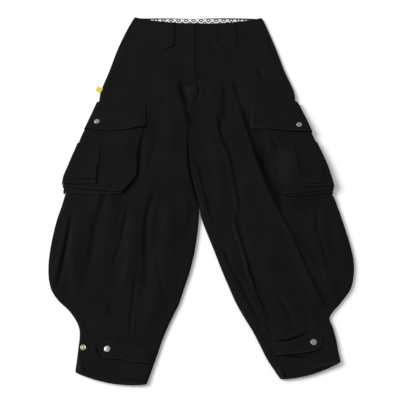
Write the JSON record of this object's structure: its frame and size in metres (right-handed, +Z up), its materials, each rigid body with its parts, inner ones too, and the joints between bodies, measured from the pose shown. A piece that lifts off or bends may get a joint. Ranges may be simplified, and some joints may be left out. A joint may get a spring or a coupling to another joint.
{
  "type": "knickerbockers",
  "caption": "Balloon-leg knickerbockers laid flat, with a fly front, bellows cargo pockets with snapped flaps, wide belt loops and snapped cuff straps.",
  "frame": {"origin": "on the surface it lies on, under the middle of the garment's box", "axes": "+X towards the wearer's left side, +Y from the hems to the waist, +Z up from the surface; the front faces up"},
  "size_m": [0.7122, 1.0049, 0.0221],
  "materials": {
    "black_twill": "heavy black cotton twill, matt, with self-coloured topstitching",
    "facing_print": "off-white cotton with a dark diamond lattice",
    "snap_metal": "dull nickel snap caps, and a brass-toned stud",
    "label_tape": "bare yellow woven tape with a dark border"
  },
  "bodies": {
    "root": {"front_right": "black_twill", "back_right": "black_twill", "belt_loop_right": "black_twill", "pocket_right": "black_twill", "gusset_right": "black_twill", "pleat_right": "black_twill", "pen_pocket_right": "black_twill", "flap_right": "black_twill", "strap_right": "black_twill", "flap_snap_right": "snap_metal", "strap_snap_right": "snap_metal", "front_left": "black_twill", "back_left": "black_twill", "belt_loop_left": "black_twill", "pocket_left": "black_twill", "gusset_left": "black_twill", "pleat_left": "black_twill", "pen_pocket_left": "black_twill", "flap_left": "black_twill", "strap_left": "black_twill", "flap_snap_left": "snap_metal", "strap_snap_left": "snap_metal", "fly_placket": "black_twill", "waist_facing": "facing_print", "side_label": "label_tape", "cuff_stud_right": "snap_metal"}
  },
  "joints": []
}
